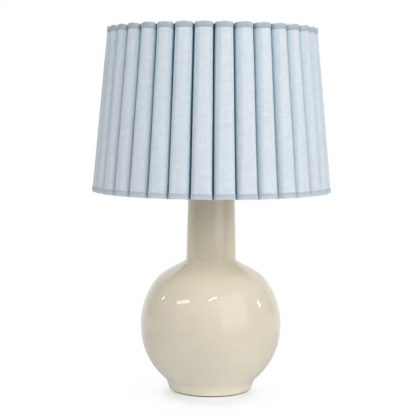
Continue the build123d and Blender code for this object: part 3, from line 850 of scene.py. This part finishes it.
def stand_in(piece, node, body, slot, material=None):
    """Lets a made piece stand for a CAD node, on its body and in its material slot."""
    piece.data.materials.append(material or MATERIALS[slot])
    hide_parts(node)
    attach(piece, body)


def nearness(material, where):
    """Nought far from the shadow's middle, one there."""
    inputs = {
        "Vector": where,
        "Location": (0, SHADOW_FORWARD / SHADOW_REACH, 0),
        "Scale": grey(1 / SHADOW_REACH),
    }
    centred = add_node(material, "ShaderNodeMapping", inputs).outputs["Vector"]
    gradient = add_node(
        material, "ShaderNodeTexGradient", {"Vector": centred}, gradient_type="QUADRATIC_SPHERE"
    )
    return gradient.outputs["Fac"]


def emission(material, strength):
    """White light of a strength."""
    inputs = {"Color": WHITE, "Strength": strength}
    return add_node(material, "ShaderNodeEmission", inputs).outputs[0]


def floor_material():
    """Floor that looks white to the camera and in reflections and still takes a soft shadow."""
    material = bpy.data.materials.new("floor")
    material.use_nodes = True
    material.node_tree.nodes.clear()
    path = add_node(material, "ShaderNodeLightPath", {})
    to_camera = path.outputs["Is Camera Ray"]
    looked_at = total(material, to_camera, path.outputs["Is Glossy Ray"])
    where = add_node(material, "ShaderNodeTexCoord", {}).outputs["Object"]
    near = nearness(material, where)

    paint = ramp(material, near, FLOOR_PAINT)
    lit = add_node(material, "ShaderNodeBsdfDiffuse", {"Color": paint}).outputs[0]
    glow = emission(material, map_range(material, near, GLOW_START, GLOW_FULL, 0.0, FLOOR_GLOW))
    glowing = add_node(material, "ShaderNodeAddShader", {0: lit, 1: glow}).outputs[0]
    table = mix_shader(material, looked_at, glowing, lit)

    depth = add_node(material, "ShaderNodeSeparateXYZ", {0: where}).outputs["Y"]
    mirrored = map_range(
        material, depth, -PALING_REACH, PALING_REACH, MIRRORED_ROOM, MIRRORED_BACKDROP
    )
    white = emission(material, calculate(material, "MAXIMUM", to_camera, mirrored))

    shown = ramp(material, near, FLOOR_SHOWN)
    seen = calculate(material, "MULTIPLY", looked_at, shown)
    surface = mix_shader(material, seen, table, white)
    add_node(material, "ShaderNodeOutputMaterial", {"Surface": surface})
    return material


def make_floor():
    """Wide plain floor under the lamp."""
    half = FLOOR_SIZE / 2
    mesh = bpy.data.meshes.new("floor")
    corners = [(-half, -half, 0), (half, -half, 0), (half, half, 0), (-half, half, 0)]
    mesh.from_pydata(corners, [], [(0, 1, 2, 3)])
    floor = add_object("floor", mesh)
    mesh.materials.append(floor_material())


def background(world, colour, strength=1.0):
    """World's light of a colour and strength."""
    inputs = {"Color": colour, "Strength": strength}
    return add_node(world, "ShaderNodeBackground", inputs).outputs[0]


def make_world():
    """White to the camera, a room with a pale backdrop in reflections, a soft light on the rest."""
    world = bpy.data.worlds.new("studio")
    world.use_nodes = True
    world.node_tree.nodes.clear()
    path = add_node(world, "ShaderNodeLightPath", {})
    direction = add_node(world, "ShaderNodeTexCoord", {}).outputs["Generated"]
    depth = add_node(world, "ShaderNodeSeparateXYZ", {0: direction}).outputs["Y"]
    room = ramp(world, map_range(world, depth, -1.0, 1.0, 0.0, 1.0), MIRRORED_DEPTHS)
    soft = background(world, WHITE, AMBIENT)
    unseen = mix_shader(world, path.outputs["Is Glossy Ray"], soft, background(world, room))
    surface = mix_shader(world, path.outputs["Is Camera Ray"], unseen, background(world, WHITE))
    add_node(world, "ShaderNodeOutputWorld", {"Surface": surface})
    bpy.context.scene.world = world


def area_light(name, size, power):
    """Area light that is still to be placed."""
    data = bpy.data.lights.new(name, "AREA")
    data.shape = "RECTANGLE"
    data.size, data.size_y = size
    data.energy = power
    light = add_object(name, data)
    light.rotation_mode = "QUATERNION"
    return light


def add_light(name, direction, distance, size, power, mirrored):
    """Light that faces the lamp's middle; it may be kept out of reflections."""
    light = area_light(name, size, power)
    outward = Vector(direction).normalized()
    light.location = LIGHT_CENTRE + outward * distance
    light.rotation_quaternion = outward.to_track_quat("Z", "Y")
    light.visible_glossy = mirrored


def add_strip(name, start, end, width, power):
    """Narrow light between two points, turned to the ball."""
    along = Vector(end) - Vector(start)
    light = area_light(name, (along.length, width), power)
    light.location = (Vector(start) + Vector(end)) / 2
    outward = (light.location - BALL_CENTRE).normalized()
    up = outward.cross(along).normalized()
    axes = Matrix((up.cross(outward), up, outward)).transposed()
    light.rotation_quaternion = axes.to_quaternion()


def make_camera():
    """Camera at the picture's own angle."""
    data = bpy.data.cameras.new("camera")
    data.lens = CAMERA_LENS
    data.sensor_width = CAMERA_SENSOR
    camera = add_object("camera", data)
    x = -CAMERA_DISTANCE * math.sin(CAMERA_TURN)
    y = -CAMERA_DISTANCE * math.cos(CAMERA_TURN)
    camera.location = (x, y, CAMERA_HEIGHT)
    tilt = math.pi / 2 - CAMERA_PITCH
    camera.rotation_euler = (tilt, -CAMERA_ROLL, CAMERA_AIM - CAMERA_TURN)
    bpy.context.scene.camera = camera


for part in frame["record"]["subparts"]:
    node = frame["nodes"][part["node"]]
    node.data.materials.clear()
    node.data.materials.append(MATERIALS[part["material_slot"]])

cover = make_cover()
top_tape = make_tape("top_tape", 1 - tape_share, 1.0, True)
bottom_tape = make_tape("bottom_tape", 0.0, tape_share, False)
felt_ring = make_felt()
stand_in(cover, "shade_cover", "shade", "linen")
# The top tape has its own, darker copy of the tape material, which is painted shade
stand_in(top_tape, "top_binding", "shade", "tape", tape("top_tape", TOP_TAPE_SHADED, 1.1))
stand_in(bottom_tape, "bottom_binding", "shade", "tape")
stand_in(felt_ring, "felt_pad", "base", "felt")
flat_length(0.5)

make_floor()
make_world()
for light in LIGHTS:
    add_light(*light)
for strip in STRIPS:
    add_strip(*strip)
make_camera()
bpy.context.scene.view_settings.view_transform = "Standard"
